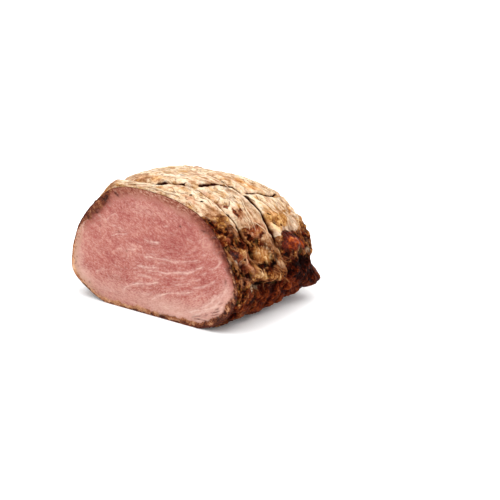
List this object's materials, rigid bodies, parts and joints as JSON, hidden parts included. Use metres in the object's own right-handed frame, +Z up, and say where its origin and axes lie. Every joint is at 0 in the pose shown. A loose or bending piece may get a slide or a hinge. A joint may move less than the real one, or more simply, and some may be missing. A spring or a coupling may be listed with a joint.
{
  "type": "roast beef joint",
  "caption": "Rolled roast beef joint lying on its side, cut flat across to show pink meat, with a browned, furrowed fat cap and a rounded far end.",
  "frame": {"origin": "middle of the bounding box, on the surface that the joint lies on", "axes": "+Z up, +Y from the flat cut face towards the rounded end, +X across the cut face"},
  "size_m": [0.1596, 0.1234, 0.0926],
  "materials": {
    "roasted_meat": "browned crust and cream fat outside, moist pink meat on the cut face"
  },
  "bodies": {
    "root": {"roast_beef": "roasted_meat"}
  },
  "joints": []
}
